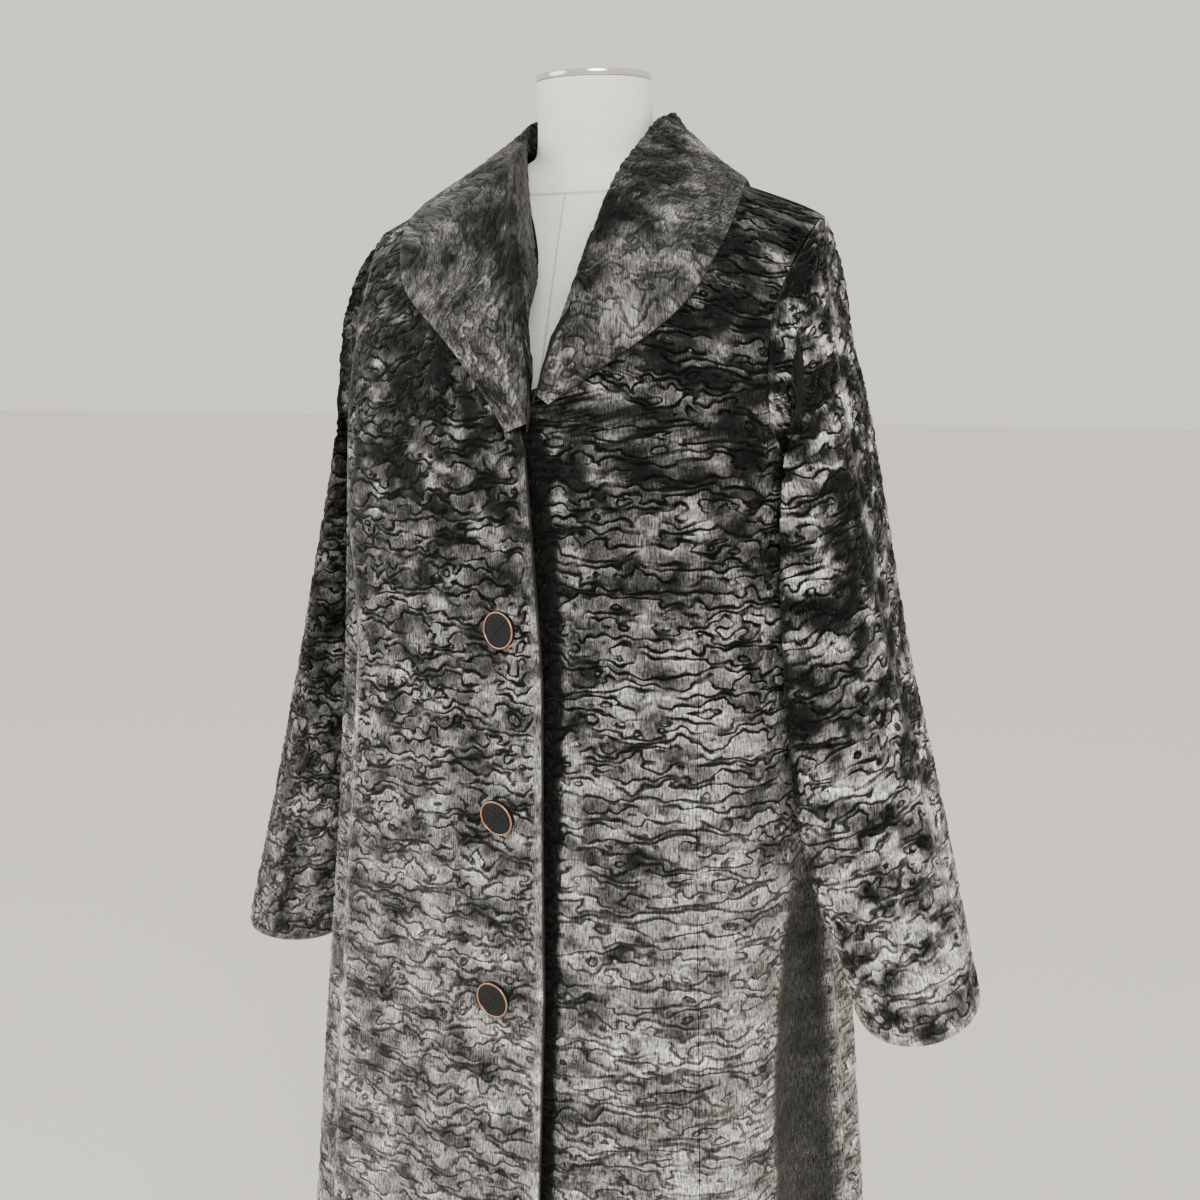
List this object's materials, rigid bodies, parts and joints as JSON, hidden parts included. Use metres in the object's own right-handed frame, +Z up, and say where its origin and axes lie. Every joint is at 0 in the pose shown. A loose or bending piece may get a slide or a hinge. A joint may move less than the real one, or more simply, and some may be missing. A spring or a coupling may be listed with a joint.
{
  "type": "velvet coat on a dress form stand",
  "caption": "Long plush velvet coat with a wide shawl collar and set-in sleeves, buttoned in front, worn on a limbless linen dress form on a round-based stand.",
  "frame": {"origin": "on the floor under the middle of the stand's round base", "axes": "+Z up; the coat's front faces -Y, and the wearer's left side is +X"},
  "size_m": [0.701, 0.3721, 1.5055],
  "materials": {
    "charcoal_plush": "embossed curly velvet plush with a silver-grey sheen",
    "natural_linen": "plain weave off-white linen",
    "chrome": "polished",
    "dark_button": "blue-black with a woven-looking face",
    "copper_rim": "rose-gold plated"
  },
  "bodies": {
    "root": {"back": "charcoal_plush", "collar_left": "charcoal_plush", "collar_right": "charcoal_plush", "front_left": "charcoal_plush", "front_right": "charcoal_plush", "side_front_left": "charcoal_plush", "side_front_right": "charcoal_plush", "sleeve_back_left": "charcoal_plush", "sleeve_back_right": "charcoal_plush", "sleeve_front_left": "charcoal_plush", "sleeve_front_right": "charcoal_plush", "form_torso": "natural_linen", "neck_cap": "natural_linen", "neck_ring": "chrome", "stand_pole": "chrome", "stand_base": "chrome", "button_1": "dark_button", "button_2": "dark_button", "button_3": "dark_button", "button_rim_1": "copper_rim", "button_rim_2": "copper_rim", "button_rim_3": "copper_rim"}
  },
  "joints": []
}
